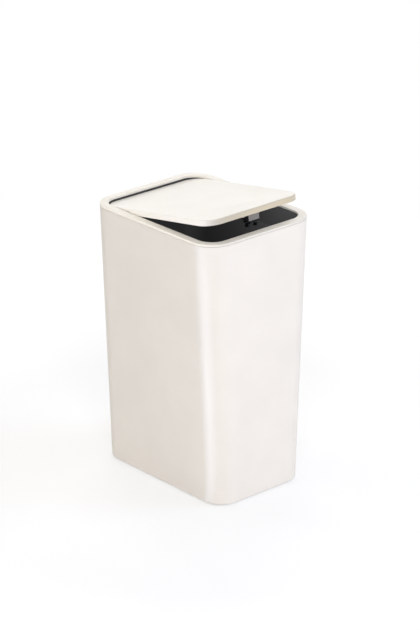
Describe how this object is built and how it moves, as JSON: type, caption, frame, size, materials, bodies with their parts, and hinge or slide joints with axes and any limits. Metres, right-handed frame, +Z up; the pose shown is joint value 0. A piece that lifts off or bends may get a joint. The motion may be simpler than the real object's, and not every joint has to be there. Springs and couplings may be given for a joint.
{
  "type": "push top countertop bin",
  "caption": "Tapered countertop bin with a lift-out bucket, a flat top frame and a sprung lid held by a push latch.",
  "frame": {"origin": "centre of the base, on the surface that the bin stands on", "axes": "+X to the right seen from the front, +Y to the back, where the lid is hinged, +Z up"},
  "size_m": [0.1526, 0.193, 0.3233],
  "materials": {
    "shell_plastic": "satin, very fine mould grain",
    "frame_plastic": "smooth, semi-gloss",
    "lid_plastic": "smooth, semi-gloss",
    "liner_plastic": "satin",
    "bucket_plastic": "satin",
    "ring_plastic": "satin, fine grain",
    "strike_plastic": "smooth",
    "latch_plastic": "smooth",
    "jaw_plastic": "smooth",
    "pin_steel": "turned",
    "screw_steel": "plated",
    "spring_steel": "drawn wire",
    "rubber": "matt"
  },
  "bodies": {
    "bin_shell": {"outer_shell": "shell_plastic", "non_slip_feet": "rubber"},
    "bucket": {"inner_bucket": "bucket_plastic"},
    "frame": {"top_frame": "frame_plastic", "carrier_ring": "ring_plastic", "strike": "strike_plastic", "strike_screws": "screw_steel", "hinge_pin_left": "pin_steel", "hinge_pin_right": "pin_steel", "hinge_spring_left": "spring_steel", "hinge_spring_right": "spring_steel", "lid_bumpers": "rubber"},
    "lid": {"lid_cover": "lid_plastic", "lid_liner": "liner_plastic", "lid_screws": "screw_steel", "latch_housing": "latch_plastic", "latch_screws": "screw_steel", "latch_spring": "spring_steel", "latch_wire": "spring_steel", "jaw_bracket": "jaw_plastic", "jaw_pins": "pin_steel"},
    "plunger": {"latch_plunger": "jaw_plastic"},
    "jaw_left": {"jaw_left": "jaw_plastic"},
    "jaw_right": {"jaw_right": "jaw_plastic"}
  },
  "joints": [
    {"name": "bucket_lift", "type": "slide", "parent": "bin_shell", "child": "bucket", "axis": [0, 0, 1], "range_m": [0, 0.31]},
    {"name": "frame_lift", "type": "slide", "parent": "bucket", "child": "frame", "axis": [0, 0, 1], "range_m": [0, 0.06]},
    {"name": "lid_hinge", "type": "hinge", "parent": "frame", "child": "lid", "pos_m": [0, 0.0611, 0.2905], "axis": [-1, 0, 0], "range_deg": [-9.75, 72], "stiffness_Nm_per_rad": 0.1, "springref_deg": 32.95, "deforming": ["hinge_spring_left", "hinge_spring_right"]},
    {"name": "latch_press", "type": "slide", "parent": "lid", "child": "plunger", "axis": [0, 0.1599, 0.9871], "range_m": [0, 0.0009], "stiffness_N_per_m": 60, "springref_m": -0.001, "deforming": ["latch_spring"]},
    {"name": "jaw_left_swing", "type": "hinge", "parent": "lid", "child": "jaw_left", "pos_m": [-0.0026, -0.07541, 0.30643], "axis": [0, -0.9871, 0.1599], "range_deg": [0, 27]},
    {"name": "jaw_right_swing", "type": "hinge", "parent": "lid", "child": "jaw_right", "pos_m": [0.0026, -0.07541, 0.30643], "axis": [0, 0.9871, -0.1599], "range_deg": [0, 27]}
  ],
  "couplings": [
    {"joint": "jaw_left_swing", "follows": "latch_press", "rad_per_m": 523.5},
    {"joint": "jaw_right_swing", "follows": "latch_press", "rad_per_m": 523.5}
  ]
}
